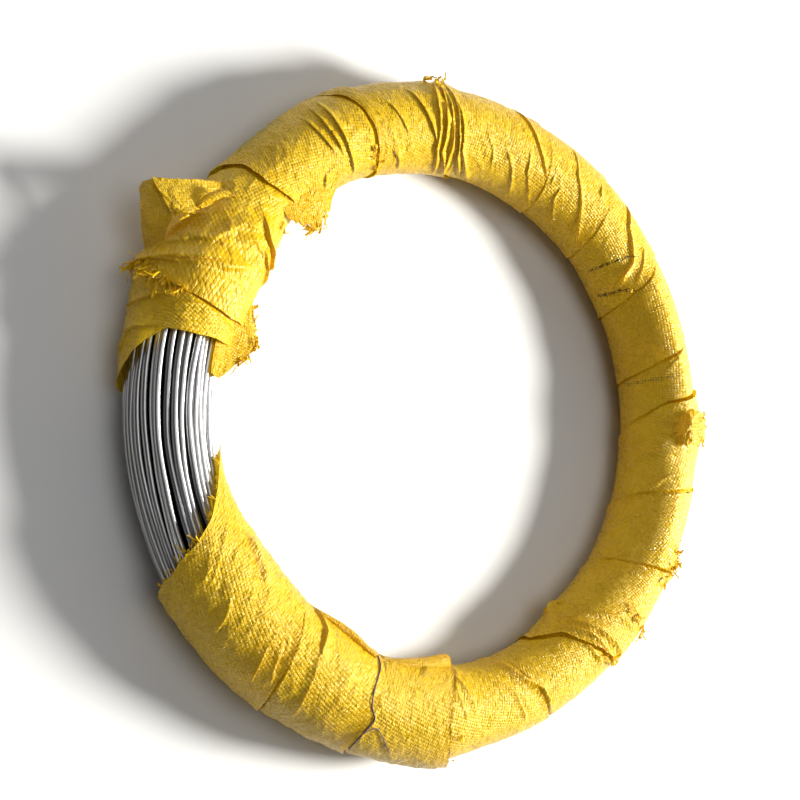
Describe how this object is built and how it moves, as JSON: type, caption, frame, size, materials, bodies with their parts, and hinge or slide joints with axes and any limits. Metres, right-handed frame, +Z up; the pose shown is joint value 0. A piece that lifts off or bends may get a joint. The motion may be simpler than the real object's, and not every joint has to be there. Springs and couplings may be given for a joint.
{
  "type": "wrapped coil of wire rod",
  "caption": "Ring coil of bright wire rod bound all round with strips of yellow woven sack fabric, with one stretch of bare wire and loose, frayed strip ends.",
  "frame": {"origin": "on the eye's axis, at floor level", "axes": "+Z up along the eye's axis; +X to the side opposite the bare stretch of wire; +Y to the left of +X seen from above"},
  "size_m": [0.5578, 0.5661, 0.0759],
  "materials": {
    "wire": "bright drawn metal",
    "wrap": "satin woven plastic tape",
    "thread": "matt"
  },
  "bodies": {
    "root": {"wire_coil": "wire", "wrap_strip_a": "wrap", "wrap_strip_b": "wrap", "wrap_strip_c": "wrap", "wrap_strip_d": "wrap", "wrap_strip_e": "wrap", "wrap_strip_f": "wrap", "binding_thread": "thread"}
  },
  "joints": []
}
